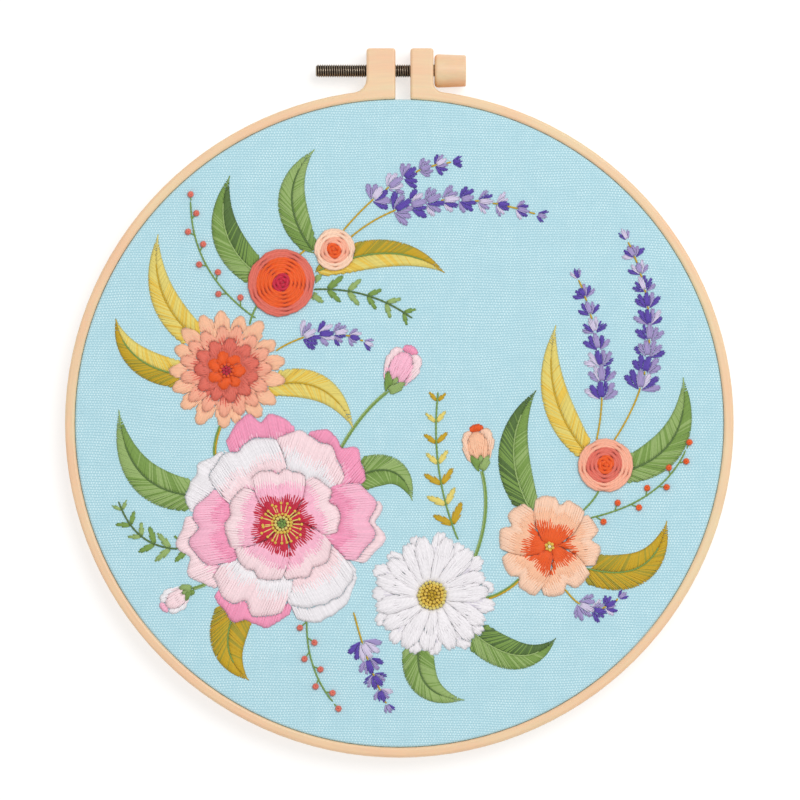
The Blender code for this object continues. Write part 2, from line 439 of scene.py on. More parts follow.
def flossMaterial():
    material, tree, shader = newMaterial("strandedCotton")
    tint = tree.nodes.new("ShaderNodeAttribute")
    tint.attribute_name = "threadColour"
    around, along = uvOf(tree, "threadUv")
    # two plies wound round each other, and the fibres in them
    ply = maths(tree, "ADD", maths(tree, "MULTIPLY", around, 2.0), maths(tree, "DIVIDE", along, thread["twist"]))
    groove = maths(tree, "ABSOLUTE", maths(tree, "SINE", maths(tree, "MULTIPLY", ply, math.pi)))
    fibre = noise(tree, combine(tree, maths(tree, "MULTIPLY", ply, 9.0), maths(tree, "MULTIPLY", along, 0.6)), 3.0, 2.0)
    # the colour is darkened in the grooves between the plies as painted shade, and varied at random along the fibres
    shade = spread(tree, maths(tree, "ADD", groove, fibre), 0.3, 1.5, 0.93, 1.04)
    colour = mixColour(tree, 1.0, tint.outputs["Color"], combine(tree, shade, shade, shade), "MULTIPLY")
    tree.links.new(colour, shader.inputs["Base Color"])
    tree.links.new(spread(tree, fibre, 0.3, 0.7, 0.42, 0.6), shader.inputs["Roughness"])
    shader.inputs["Specular IOR Level"].default_value = 0.35
    shader.inputs["Sheen Weight"].default_value = 0.25
    shader.inputs["Sheen Roughness"].default_value = 0.4
    tree.links.new(bump(tree, maths(tree, "ADD", groove, fibre), 0.00004, 0.6), shader.inputs["Normal"])
    return material


floss = flossMaterial()


def newPile():
    return {}


def lay(pile, line, height, colour, width, thick, endShade=(0.5, 0.5)):
    # one thread along line (points in mm), its middle at these heights above the cloth; the last
    # argument says how much each end is darkened with painted shade, where it dives into its needle hole
    pile.setdefault(len(line), []).append((line, height, colour, width, thick, endShade))


def insideOutline(points, outline):
    x, y = points[:, 0:1], points[:, 1:2]
    ax, ay = outline[:, 0], outline[:, 1]
    bx, by = np.roll(ax, -1), np.roll(ay, -1)
    rise = np.where(by == ay, 1e-9, by - ay)
    crossed = ((ay > y) != (by > y)) & (x < (bx - ax) * (y - ay) / rise + ax)
    return crossed.sum(1) % 2 == 1


def toOutline(points, outline):
    # distance from each point to the nearest side of an outline
    side = np.roll(outline, -1, 0) - outline
    offset = points[:, None] - outline
    share = (offset * side).sum(2) / np.maximum((side ** 2).sum(1), 1e-9)
    nearest = offset - np.clip(share, 0, 1)[..., None] * side
    return np.sqrt((nearest ** 2).sum(2)).min(1)


def nearby(outlines, low, high):
    return [o for o in outlines if (o.min(0) <= high).all() and (o.max(0) >= low).all()]


def clearStretch(starts, ends, shortest=0.5, tuck=0.28):
    # cuts each stitch back to its longest stretch that nothing covers; returns which are left
    share = np.linspace(0, 1, 49)
    line = starts[:, None] + (ends - starts)[:, None] * share[:, None]
    flat = line.reshape(-1, 2)
    hidden = np.zeros(len(flat), bool)
    for outline in nearby(covered, flat.min(0), flat.max(0)):
        hidden |= insideOutline(flat, outline)
    hidden = hidden.reshape(line.shape[:2])
    kept = []
    newStarts, newEnds = starts.copy(), ends.copy()
    for index, row in enumerate(hidden):
        if not row.any():
            kept.append(index)
            continue
        edges = np.flatnonzero(np.diff(np.concatenate(([1], row.astype(int), [1]))))
        runs = [(b - a, a, b - 1) for a, b in zip(edges[::2], edges[1::2])]
        if not runs:
            continue
        run, first, last = max(runs)
        way = (ends[index] - starts[index]) / max(np.linalg.norm(ends[index] - starts[index]), 1e-6)
        # a cut end tucks in under its neighbour's edge
        newStarts[index] = line[index, first] - way * (tuck if first > 0 else 0)
        newEnds[index] = line[index, last] + way * (tuck if last < len(share) - 1 else 0)
        if np.linalg.norm(newEnds[index] - newStarts[index]) >= shortest + 2 * tuck:
            kept.append(index)
    return newStarts[kept], newEnds[kept], np.array(kept, int)


def satin(pile, starts, ends, colour, outline, puff=0.5, soft=0.45, level=0.0, dips=(1.0, 1.0), width=None, bow=0.0,
          under=True):
    # a band of stitches side by side over a padded outline; dips say how far each end sinks in
    starts, ends = np.atleast_2d(starts), np.atleast_2d(ends)
    starts, ends, kept = clearStretch(starts, ends)
    if not len(kept):
        return
    colours = np.array([srgb(threadColours[c]) for c in ([colour] * (kept.max() + 1) if isinstance(colour, str) else colour)])
    length = np.linalg.norm(ends - starts, axis=1)
    rings = 8 if length.mean() > 3.2 else 6
    share = (1 - np.cos(np.linspace(0, math.pi, rings))) / 2
    line = starts[:, None] + (ends - starts)[:, None] * share[:, None]
    if bow:
        way = (ends - starts) / np.maximum(length, 1e-6)[:, None]
        aside = np.stack([-way[:, 1], way[:, 0]], 1)
        line = line + (aside * (bow * length)[:, None])[:, None] * (4 * share * (1 - share))[:, None]
    flat = line.reshape(-1, 2)
    depth = toOutline(flat, outline)
    for other in nearby(covered, flat.min(0) - 1, flat.max(0) + 1):
        depth = np.minimum(depth, toOutline(flat, other))
    height = puff * (1 - np.exp(-depth / soft)).reshape(line.shape[:2])
    height = height + 0.08 + dice.uniform(-0.02, 0.02, (len(kept), 1))
    # the ends run down into the cloth over about one thread's width and a half
    fromStart = length[:, None] * share
    fromEnd = length[:, None] * (1 - share)
    sink = dips[0] * np.exp(-((fromStart / 0.55) ** 2)) + dips[1] * np.exp(-((fromEnd / 0.55) ** 2))
    height = level + height * (1 - np.clip(sink, 0, 1))
    tones = 1 + dice.uniform(-thread["uneven"], thread["uneven"], len(kept))
    for index in range(len(kept)):
        wide = (width or thread["width"]) * dice.uniform(0.94, 1.08) * min(1.0, 0.62 + 0.2 * length[index])
        shade = colours[kept[index]] * tones[index]
        # the dips also set how much painted shade darkens each end
        lay(pile, line[index], height[index], shade, wide, thread["thick"], dips)
        if under and index % 3 == 1 and length[index] > 1.6:
            # a broad stitch below fills the grooves; its thread's colour is darkened a little as painted shade
            inner = slice(1, rings - 1)
            lay(pile, line[index, inner], height[index, inner] - 0.15, shade * 0.93, 1.5, 0.3, (0, 0))


def sew(name, pile):
    # turns a pile of laid threads into one mesh of closed tapered tubes
    sides = thread["sides"]
    turn = np.arange(sides) * 2 * math.pi / sides
    total = sum(len(items) for items in pile.values())
    columns = math.ceil(math.sqrt(total))
    points, faces, tints, maps, squares = [], [], [], [], []
    base, number = 0, 0
    for rings, items in sorted(pile.items()):
        count = len(items)
        line = np.array([item[0] for item in items])
        height = np.array([item[1] for item in items])
        tint = np.array([item[2] for item in items])
        wide = np.array([item[3] for item in items])
        thick = np.array([item[4] for item in items])
        endShade = np.array([item[5] for item in items])
        middle = np.concatenate([line, height[..., None]], 2)
        way = np.gradient(middle, axis=1)
        way /= np.maximum(np.linalg.norm(way, axis=2, keepdims=True), 1e-9)
        flatWay = way[..., :2] / np.maximum(np.linalg.norm(way[..., :2], axis=2, keepdims=True), 1e-9)
        side = np.stack([-flatWay[..., 1], flatWay[..., 0], np.zeros(way.shape[:2])], 2)
        up = np.cross(way, side)
        run = np.concatenate([np.zeros((count, 1)), np.cumsum(np.linalg.norm(np.diff(middle, axis=1), axis=2), 1)], 1)
        share = run / np.maximum(run[:, -1:], 1e-9)
        # ends narrow to a small blunt tip
        taper = np.sqrt(np.clip(1 - np.abs(2 * share - 1) ** 10, 0.03, 1))
        ring = (
            middle[:, :, None]
            + side[:, :, None] * (np.cos(turn)[:, None] * (wide[:, None] * taper / 2)[:, :, None, None])
            + up[:, :, None] * (np.sin(turn)[:, None] * (thick[:, None] * taper / 2)[:, :, None, None])
        )
        points.append(ring.reshape(-1, 3))
        # each thread darkens towards the ends where it dives into the cloth: painted shade at the needle holes
        dark = endShade[:, :1] * np.exp(-((run / 0.3) ** 2)) + endShade[:, 1:] * np.exp(-(((run[:, -1:] - run) / 0.3) ** 2))
        shades = tint[:, None, :] * (1 - 0.42 * np.clip(dark, 0, 1))[..., None]
        tints.append(np.repeat(shades.reshape(-1, 3), sides, 0))
        j, i = np.meshgrid(np.arange(rings - 1), np.arange(sides), indexing="ij")
        following = (i + 1) % sides
        quad = np.stack([j * sides + i, j * sides + following, (j + 1) * sides + following, (j + 1) * sides + i], 2)
        quad = quad.reshape(-1, 4)
        offsets = base + np.arange(count) * rings * sides
        quads = (quad[None] + offsets[:, None, None]).reshape(-1, 4)
        across = np.stack([i, i + 1, i + 1, i], 2).reshape(-1, 4) / sides
        ringOf = np.stack([j, j, j + 1, j + 1], 2).reshape(-1, 4)
        runAt = run[:, ringOf]
        shareAt = share[:, ringOf]
        maps.append(np.stack([np.broadcast_to(across, runAt.shape), runAt], 3).reshape(-1, 2))
        cell = number + np.arange(count)
        cellX, cellY = cell % columns, cell // columns
        squareU = (cellX[:, None, None] + 0.12 + 0.76 * shareAt) / columns
        squareV = (cellY[:, None, None] + 0.12 + 0.76 * np.broadcast_to(across, runAt.shape)) / columns
        squares.append(np.stack([squareU, squareV], 3).reshape(-1, 2))
        caps = []
        for offset in offsets:
            caps.append(list(range(offset + sides - 1, offset - 1, -1)))
            end = offset + (rings - 1) * sides
            caps.append(list(range(end, end + sides)))
        faces.append((quads, caps, cell))
        base += count * rings * sides
        number += count
    points = np.concatenate(points) * mm
    points[:, 2] += clothTop
    points[:, :2] += np.array(hoopCentre[:2])
    allFaces, uvs, cells = [], [], []
    for (quads, caps, cell), threadUv, square in zip(faces, maps, squares):
        allFaces += quads.tolist()
        uvs.append(np.concatenate([threadUv, square], 1))
        allFaces += caps
        middleOfCell = np.stack([cell % columns + 0.5, cell // columns + 0.5], 1) / columns
        # a tip's face is a point on both maps but for a hair, at its thread's place
        around = np.stack([np.cos(turn), np.sin(turn)], 1) * 0.04 / columns
        tips = np.repeat(middleOfCell, 2 * sides, 0) + np.tile(around, (2 * len(cell), 1))
        uvs.append(np.concatenate([np.tile(np.abs(around) * columns, (2 * len(cell), 1)), tips], 1))
    uvs = np.concatenate(uvs).astype(np.float32)
    mesh = bpy.data.meshes.new(name)
    mesh.from_pydata(points.tolist(), [], allFaces)
    mesh.uv_layers.new(name="threadUv").data.foreach_set("uv", uvs[:, :2].ravel())
    mesh.uv_layers.new(name="OFBake").data.foreach_set("uv", uvs[:, 2:].ravel())
    tintLayer = mesh.color_attributes.new("threadColour", "FLOAT_COLOR", "POINT")
    tints = np.concatenate(tints)
    tintLayer.data.foreach_set("color", np.concatenate([tints, np.ones((len(tints), 1))], 1).astype(np.float32).ravel())
    mesh.shade_smooth()
    made = addObject(name, mesh, floss)
    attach(made, "hoop")
    mesh.calc_loop_triangles()
    print(name, total, "threads", len(mesh.loop_triangles), "triangles")
    return made


def turned(angle):
    # the unit step in a direction given in degrees, 0 to the right and 90 towards the clamp
    return np.array([math.cos(math.radians(angle)), math.sin(math.radians(angle))])


def bent(start, bend, end, share):
    # a point on the smooth curve from start to end that leans towards bend
    share = np.asarray(share)[..., None]
    start, bend, end = (np.array(p, float) for p in (start, bend, end))
    return start * (1 - share) ** 2 + bend * 2 * share * (1 - share) + end * share ** 2


def petal(pile, base, heading, length, width, rows, neck=0.3, flare=0.9, shoulder=0.25, notch=0.0,
          ruffle=0.0, curl=0.0, lop=0.0, puff=0.55, level=0.0, creases=(), spacing=None, under=True):
    # rows, from the outer edge in: (how far out each starts, how far out it ends, colour)
    base = np.array(base, float)
    out, aside = turned(heading), turned(heading + 90)
    phase = dice.uniform(0, 6.28)

    def at(u, v):
        u, v = np.broadcast_arrays(np.asarray(u, float), np.asarray(v, float))
        reach = length * (1 - shoulder * np.abs(u) ** 2.5 - notch * np.exp(-((u / 0.18) ** 2)))
        reach = reach * (1 + lop * u + ruffle * np.sin(7 * u + phase) + 0.5 * ruffle * np.sin(13 * u + 2 * phase))
        wide = width / 2 * (neck + (1 - neck) * np.sin(math.pi / 2 * np.clip(v, 0, 1) ** flare))
        return base + out * (reach * v)[..., None] + aside * (u * wide + curl * length * v ** 2)[..., None]

    rim = np.linspace(-1, 1, 33)
    flank = np.linspace(0, 1, 9)[1:-1]
    outline = np.concatenate([at(rim, 1.0), at(1.0, flank[::-1]), at([1.0, -1.0], 0.0), at(-1.0, flank)])
    for index, (far, near, colour) in enumerate(rows):
        wide = far * 0.8 + near * 0.2
        span = np.linalg.norm(at(1.0, wide) - at(-1.0, wide))
        count = max(2, round(span / (spacing or thread["spacing"])))
        u = (np.arange(count) + 0.5) / count * 2 - 1 + dice.uniform(-0.2, 0.2, count) / count
        for crease in creases:
            # the threads beside a crease draw apart
            u = np.where(np.abs(u - crease) < 0.6 / count, crease + np.sign(u - crease + 1e-6) * 0.9 / count, u)
        step = (far - near) * 0.16
        uneven = np.where(np.arange(count) % 2 == 0, -step, step) + dice.uniform(-0.6, 0.6, count) * step
        first, last = index == 0, index == len(rows) - 1
        outer = np.full(count, far) + (dice.uniform(-0.12, 0.1, count) / length if first else uneven * 0.8)
        inner = np.full(count, near) + (dice.uniform(-0.1, 0.1, count) / length if last else uneven)
        satin(
            pile, at(u, outer), at(u, np.maximum(inner, 0.0)), colour, outline, puff=puff, level=level + 0.05 * index,
            dips=(1.0 if first else 0.25, 1.0 if last else 0.4), under=under,
        )
    covered.append(outline)
    return outline


def frenchKnot(pile, place, size, colour, level):
    # two turns of thread round themselves
    share = np.linspace(0, 1, 15)
    turns = 1.9 * 2 * math.pi * share + dice.uniform(0, 6.28)
    radius = size * (0.30 - 0.16 * share)
    line = np.array(place, float) + np.stack([radius * np.cos(turns), radius * np.sin(turns)], 1)
    shade = np.array(srgb(threadColours[colour])) * (1 + dice.uniform(-0.05, 0.05))
    lay(pile, line, level + size * (0.12 + 0.32 * share), shade, 0.42 * size, 0.4 * size)


# towards its base, a leaf half has stitches of a second tone
leafMix = {"sage": "leafGreen", "leafGreen": "sage", "darkGreen": "leafGreen", "mustard": "olive", "straw": "gold"}


def leaf(pile, start, bend, tip, width, colours, vein=None, lean=1.15, fat=0.62, puff=0.45):
    # two halves of slanting stitches either side of a rib; colours are those halves'
    start, tip = np.array(start, float), np.array(tip, float)
    length = np.linalg.norm(np.diff(bent(start, bend, tip, np.linspace(0, 1, 30)), axis=0), axis=1).sum()
    widest = fat / (fat + 1.05)
    fullest = widest ** fat * (1 - widest) ** 1.05

    def half(share):
        # half the leaf's width: round at the base, drawn out to a point
        share = np.clip(share, 0, 1)
        return width / 2 * share ** fat * (1 - share) ** 1.05 / fullest

    def edge(share, hand):
        share = np.clip(share, 0, 1)
        rib = bent(start, bend, tip, share)
        ahead = bent(start, bend, tip, np.minimum(share + 0.01, 1.0)) - bent(start, bend, tip, np.maximum(share - 0.01, 0.0))
        ahead /= np.linalg.norm(ahead, axis=-1, keepdims=True)
        out = np.stack([-ahead[..., 1], ahead[..., 0]], -1) * hand
        return rib + out * half(share)[..., None]

    share = np.linspace(0, 1, 31)
    outline = np.concatenate([edge(share, 1), edge(share[::-1][1:-1], -1)])
    count = int(length / (thread["spacing"] * 1.4))
    if vein:
        splitStitch(pile, bent(start, bend, tip, np.linspace(0.03, 0.8, 40)), vein, level=puff * 0.8, clip=True, width=0.42)
    # one long stitch draws the tip out to a point
    satin(pile, bent(start, bend, tip, 0.9), tip, colours[0], outline, puff=puff * 0.5, width=0.4, under=False)
    for hand, colour in zip((1, -1), colours):
        rib = (np.arange(count) + dice.uniform(0.3, 0.7, count)) / count * 0.97
        reach = lean * half(rib + 0.06) / length
        outer = rib + reach + dice.uniform(-0.1, 0.1, count) / length
        starts, ends = edge(outer, hand), bent(start, bend, tip, rib)
        tones = np.where(dice.random(count) < 0.75 - 0.9 * rib, leafMix[colour], colour)
        satin(pile, starts, ends, tones, outline, puff=puff, dips=(1.0, 0.45))
    covered.append(outline)
    return outline


def splitStitch(pile, path, colour, width=0.5, step=1.5, stitch=2.9, offset=0.1, level=0.0, clip=False, lift=0.18):
    # a line of stitches that each start beside the middle of the last
    steps = np.concatenate([[0], np.cumsum(np.linalg.norm(np.diff(path, axis=0), axis=1))])
    total = steps[-1]
    count = max(1, int(round((total - stitch) / step)) + 1)

    def along(distance):
        return np.stack([np.interp(distance, steps, path[:, 0]), np.interp(distance, steps, path[:, 1])], -1)

    shade = np.array(srgb(threadColours[colour]))
    for index in range(count):
        begin = index * step
        run = np.linspace(begin, min(begin + stitch, total), 7)
        line = along(run)
        way = line[-1] - line[0]
        way /= max(np.linalg.norm(way), 1e-6)
        aside = np.array([-way[1], way[0]])
        share = np.linspace(0, 1, 7)
        line = line + aside * ((share - 0.5) * 2 * offset)[:, None]
        if clip:
            fine = along(np.linspace(run[0], run[-1], 25))
            hidden = np.zeros(25, bool)
            for outline in nearby(covered, fine.min(0), fine.max(0)):
                hidden |= insideOutline(fine, outline)
            edges = np.flatnonzero(np.diff(np.concatenate(([1], hidden.astype(int), [1]))))
            runs = [(b - a, a, b - 1) for a, b in zip(edges[::2], edges[1::2])]
            if not runs or max(runs)[0] < 4:
                continue
            clear, first, last = max(runs)
            reach = (run[-1] - run[0]) / 24
            begins = run[0] + first * reach - (0.3 if first else 0.0)
            finishes = run[0] + last * reach + (0.3 if last < 24 else 0.0)
            line = along(np.linspace(begins, finishes, 7)) + aside * ((share - 0.5) * 2 * offset)[:, None]
        height = level + lift * (1 - (2 * share - 1) ** 4)
        # both ends get painted shade where they dive into the cloth
        lay(pile, line, height, shade * (1 + dice.uniform(-0.06, 0.06)), width, width * 0.8, (0.4, 0.4))


def stem(pile, start, bend, end, colours, width=0.55):
    # one row of stitches for each colour, side by side
    for index, colour in enumerate(colours):
        path = bent(start, bend, end, np.linspace(0, 1, 60))
        way = np.gradient(path, axis=0)
        way /= np.linalg.norm(way, axis=1, keepdims=True)
        shift = (index - (len(colours) - 1) / 2) * 0.5
        path = path + np.stack([-way[:, 1], way[:, 0]], 1) * shift
        splitStitch(pile, path, colour, width=width, clip=True, level=0.08)


def headingOf(start, bend, end, share):
    # which way a curved stem runs there, in degrees
    ahead = bent(start, bend, end, min(share + 0.02, 1.0)) - bent(start, bend, end, share - 0.02)
    return math.degrees(math.atan2(ahead[1], ahead[0]))


def lavender(pile, start, bend, end, whorls, size, tones):
    # rings of plump little buds up the last part of a stem, the lowest in front
    for index in range(whorls):
        share = 0.3 + 0.7 * index / (whorls - 1)
        place, way = bent(start, bend, end, share), headingOf(start, bend, end, share)
        length = size * (1.08 - 0.45 * index / (whorls - 1))
        turns = [0, 27, -27, 56, -56] if index % 2 else [13, -13, 42, -42, 70, -70]
        if index == whorls - 1:
            turns = [0, 30, -30]
        for turn in turns:
            tone = tones[int(dice.integers(len(tones)))]
            petal(
                pile, place + turned(way) * 0.3, way + turn + dice.uniform(-5, 5), length * dice.uniform(0.88, 1.1),
                length * 0.46, [(1.0, 0.05, tone)], neck=0.4, flare=0.7, shoulder=0.42, puff=0.42, spacing=0.46, under=False,
            )


def bud(pile, base, heading, size, colours, calyx=("leafGreen", "sage")):
    # a closed flower: sepals over its foot, one petal in front, two behind and one that peeps out
    base = np.array(base, float)
    for turn, length in ((-34, 0.42), (30, 0.46), (-4, 0.38)):
        petal(
            pile, base - turned(heading) * 0.6, heading + turn, size * length, size * 0.2,
            [(1.0, 0.0, calyx[0] if turn > 0 else calyx[1])], neck=0.7, flare=0.9, shoulder=0.75, puff=0.6,
        )
    front, inside, back = colours
    for turn, length, width, edge in ((3, 0.92, 0.5, front), (-19, 1.0, 0.46, inside), (21, 0.97, 0.46, inside), (0, 1.1, 0.6, back)):
        petal(
            pile, base, heading + turn, size * length, size * width, [(1.0, 0.45, edge), (0.62, 0.05, front)],
            neck=0.35, flare=0.75, shoulder=0.3, puff=0.65, curl=-0.004 * turn,
        )


def sprig(pile, start, bend, end, count, size, colours, rib):
    # pairs of little leaves up a stem, smaller towards its tip
    stem(pile, start, bend, end, [rib], width=0.5)
    for index in range(count):
        share = (index + 0.8) / (count + 0.3)
        place, way = bent(start, bend, end, share), headingOf(start, bend, end, share)
        for hand in (1, -1):
            length = size * (1.1 - 0.55 * share) * dice.uniform(0.9, 1.1)
            petal(
                pile, place + turned(way + 90 * hand) * 0.2, way + hand * dice.uniform(38, 52), length, length * 0.4,
                [(1.0, 0.0, colours[index % len(colours)])], neck=0.35, flare=0.8, shoulder=0.7, puff=0.3, under=False,
            )


def berries(pile, start, bend, end, count, colour, rib):
    # knots on short stalks either side of a stem
    stem(pile, start, bend, end, [rib], width=0.45)
    for index in range(count):
        share = (index + 1) / count
        place, way = bent(start, bend, end, share), headingOf(start, bend, end, share)
        turn = 0 if index == count - 1 else (48 if index % 2 else -48)
        tip = place + turned(way + turn) * (2.9 - 0.8 * share)
        splitStitch(pile, np.linspace(place, tip, 12), rib, width=0.4, clip=True, level=0.05)
        frenchKnot(pile, tip, 2.3, colour, 0.05)


rose = {
    "centre": (-36, -31),
    "whorls": [
        # how many petals, the first one's heading, length, width, and each petal's colours from the edge in
        (5, 96, 17.0, 17.5, [["blush", "rosePink", "crimson"]]),
        (6, 122, 27.0, 23.0, [["white", "blush", "rosePink"], ["rosePink", "pink", "rosePink"], ["blush", "white", "blush"]]),
        (7, 100, 32.5, 23.0, [["pink", "rosePink", "pink"], ["white", "white", "blush"], ["blush", "rosePink", "pink"]]),
    ],
    "rows": [(1.0, 0.62), (0.76, 0.36), (0.50, 0.05)],
}


def padding(pile, centre, radius, colour):
    # broad stitches that fill a flower's middle, below its knots and petals, their colour darkened to 0.8 as painted
    # shade
    for offset in np.arange(-radius + 0.4, radius, 0.75):
        half = math.sqrt(radius ** 2 - offset ** 2)
        line = centre + np.stack([np.full(6, offset), np.linspace(-half, half, 6)], 1)
        lay(pile, line, np.full(6, 0.3), np.array(srgb(threadColours[colour])) * 0.8, 1.1, 0.4, (0, 0))


def flowerEye(pile, centre, rings, size, level):
    # rings of knots: (distance from the middle, how many, colour)
    for far, count, colour in rings:
        for index in range(count):
            place = centre + turned(360 * index / count + 37 * far) * far * dice.uniform(0.95, 1.05)
            frenchKnot(pile, place, size * dice.uniform(0.92, 1.08), colour, level)


def stamens(pile, centre, count, first, last, level, colour="straw", tip="gold"):
    # straight stitches round the middle, each with a knot at its end
    for index in range(count):
        heading = 360 * index / count + dice.uniform(-5, 5)
        root, end = centre + turned(heading) * first, centre + turned(heading) * last * dice.uniform(0.86, 1.1)
        share = np.linspace(0, 1, 6)
        height = level + 0.15 * np.sin(share * math.pi)
        lay(pile, root + (end - root) * share[:, None], height, np.array(srgb(threadColours[colour])), 0.4, 0.32)
        frenchKnot(pile, end, 1.05, tip, level)


def sewRose():
    pile = newPile()
    centre = np.array(rose["centre"], float)
    padding(pile, centre, 4.5, "crimson")
    stamens(pile, centre, 24, 3.0, 6.3, 0.95)
    flowerEye(pile, centre, [(0, 1, "leafGreen"), (1.0, 6, "leafGreen"), (1.95, 12, "straw"), (2.9, 18, "gold")], 1.2, 0.75)
    for whorl, (count, heading, length, width, colours) in enumerate(rose["whorls"]):
        for index in range(count):
            angle = heading + 360 * index / count + dice.uniform(-4, 4)
            tones = colours[index % len(colours)]
            rows = [(far, near, tone) for (far, near), tone in zip(rose["rows"], tones)]
            petal(
                pile, centre + turned(angle) * 0.9, angle, length * dice.uniform(0.93, 1.05),
                width * dice.uniform(0.94, 1.08), rows, neck=0.2, flare=0.75, shoulder=dice.uniform(0.14, 0.24),
                notch=dice.uniform(0.03, 0.1), ruffle=0.016, lop=dice.uniform(-0.05, 0.05),
                curl=dice.uniform(-0.06, 0.06), puff=0.85 - 0.15 * whorl,
            )
        if whorl == 1:
            # the outer petals are a piece of their own, as one mesh would be too heavy
            sew("roseStitches", pile)
            pile = newPile()
    sew("outerRoseStitches", pile)


daisy = {
    "centre": (10, -53),
    "reach": 19.5,
    "petals": 15,
}


def sewDaisy():
    pile = newPile()
    centre = np.array(daisy["centre"], float)
    padding(pile, centre, 4.2, "mustard")
    rings = [(0, 1, "mustard"), (1.05, 6, "mustard"), (2.1, 12, "gold"), (3.15, 18, "gold"), (4.0, 22, "straw")]
    flowerEye(pile, centre, rings, 1.25, 0.7)
    for layer, (scale, rows) in enumerate(
        ((0.94, [(1.0, 0.5, "white"), (0.66, 0.12, "white")]), (1.0, [(1.0, 0.5, "white"), (0.7, 0.12, "dove")]))
    ):
        for index in range(daisy["petals"]):
            heading = 360 * (index + 0.5 * layer) / daisy["petals"] + dice.uniform(-3, 3)
            petal(
                pile, centre + turned(heading) * 2.2, heading, (daisy["reach"] - 2.2) * scale * dice.uniform(0.95, 1.04),
                5.6, rows, neck=0.34, flare=0.8, shoulder=0.28, notch=0.04, puff=0.6 - 0.15 * layer,
                curl=dice.uniform(-0.04, 0.04),
            )
    sew("daisyStitches", pile)


dahlia = {
    "centre": (-53, 16),
    "whorls": [(7, 5.6, 4.4, "orange", "coral"), (11, 9.6, 5.0, "coral", "coral"), (15, 13.6, 5.4, "salmon", "coral"),
               (17, 17.4, 6.2, "apricot", "salmon")],
}


def sewDahlia():
    pile = newPile()
    centre = np.array(dahlia["centre"], float)
    padding(pile, centre, 9.0, "coral")
    flowerEye(pile, centre, [(0, 1, "crimson"), (1.0, 6, "crimson"), (1.9, 10, "orange")], 1.1, 0.95)
    for layer, (count, length, width, edge, inside) in enumerate(dahlia["whorls"]):
        for index in range(count):
            heading = 360 * (index + 0.5 * (layer % 2)) / count + dice.uniform(-3, 3)
            rows = [(1.0, 0.55, edge), (0.72, 0.1, inside)] if length > 7 else [(1.0, 0.1, edge)]
            petal(
                pile, centre + turned(heading) * 0.8, heading, length * dice.uniform(0.95, 1.04), width, rows,
                neck=0.3, flare=1.0, shoulder=0.42, puff=0.95 - 0.17 * layer,
            )
    sew("dahliaStitches", pile)


primrose = {
    "centre": (46, -38),
    "reach": 15.0,
    "wide": 15.5,
    "rows": [(1.0, 0.60, "peach"), (0.76, 0.34, "apricot"), (0.5, 0.0, "orange")],
}


def sewPrimrose():
    pile = newPile()
    centre = np.array(primrose["centre"], float)
    padding(pile, centre, 3.2, "orange")
    flowerEye(pile, centre, [(0, 1, "cream"), (1.05, 6, "gold")], 1.2, 0.65)
    for index in range(5):
        heading = 78 + 72 * index + dice.uniform(-3, 3)
        petal(
            pile, centre + turned(heading) * 0.4, heading, primrose["reach"] * dice.uniform(0.96, 1.04), primrose["wide"],
            primrose["rows"], neck=0.2, flare=0.7, shoulder=0.16, notch=0.15, puff=0.7,
            lop=dice.uniform(-0.04, 0.04), ruffle=0.01,
        )
    sew("primroseStitches", pile)


def wovenRose(pile, centre, radius, colours, pitch=0.62, wide=1.12):
    # a wheel of five spokes, over which the thread runs one over, one under
    centre = np.array(centre, float)
    share = np.linspace(0, 1, 9)
    turn, far, index = dice.uniform(0, 360), 0.5, 0
    while far < radius:
        angles = np.radians(turn + 150 * share - 75)
        distance = far + pitch * 150 / 360 * share
        line = centre + np.stack([distance * np.cos(angles), distance * np.sin(angles)], 1)
        rise = 1.55 - 0.85 * far / radius
        height = rise * (0.55 + 0.45 * (1 - (2 * share - 1) ** 2)) + 0.05 * (index % 2)
        tone = colours[min(int(far / radius * len(colours)), len(colours) - 1)]
        lay(pile, line, height, np.array(srgb(threadColours[tone])) * dice.uniform(0.95, 1.05), wide, wide * 0.8)
        turn += 144
        far += pitch * 144 / 360
        index += 1
    frenchKnot(pile, centre, 1.3, colours[0], 1.3)
    around = np.radians(np.linspace(0, 360, 25)[:-1])
    covered.append(centre + (radius + 0.3 * wide) * np.stack([np.cos(around), np.sin(around)], 1))


def sewWovenRoses():
    pile = newPile()
    for centre, radius, colours in (
        ((-36, 43), 10.0, ["crimson", "orange", "orange", "coral"]),
        ((63, -13), 8.0, ["orange", "coral", "salmon"]),
        ((-20, 53), 6.0, ["orange", "salmon", "peach"]),
    ):
        wovenRose(pile, centre, radius, colours)
    sew("wovenRoseStitches", pile)


lavenders = [
    # stem's start, bend and end, how many rings of buds, and the largest bud
    ((-16, 56), (6, 76), (42, 64), 9, 5.6),
    ((-18, 58), (-2, 78), (16, 80), 6, 5.2),
    ((64, -8), (86, 22), (70, 56), 10, 5.6),
    ((60, -7), (66, 16), (55, 44), 8, 5.4),
    ((-14, -58), (-10, -74), (-4, -86), 5, 5.2),
    ((50, -50), (58, -62), (67, -54), 4, 4.8),
    ((-38, 22), (-24, 31), (-11, 25), 5, 5.0),
]


def sewLavender():
    pile = newPile()
    tones = ["violet", "lilac", "paleLilac", "violet", "lilac"]
    for start, bend, end, whorls, size in lavenders:
        lavender(pile, start, bend, end, whorls, size, tones)
    sew("lavenderStitches", pile)


buds = [
    # foot, heading, size, the petals' colours, and its stem's start and bend
    ((-3, 10), 62, 14.0, ("rosePink", "blush", "pink"), (-22, -16), (-14, 2)),
    ((25, -14), 96, 12.5, ("apricot", "peach", "orange"), (22, -44), (29, -28)),
    ((-64, -51), 214, 10.0, ("blush", "white", "rosePink"), (-50, -44), (-58, -50)),
]


def sewBuds():
    pile = newPile()
    for foot, heading, size, colours, start, bend in buds:
        bud(pile, foot, heading, size, colours)
    sew("budStitches", pile)


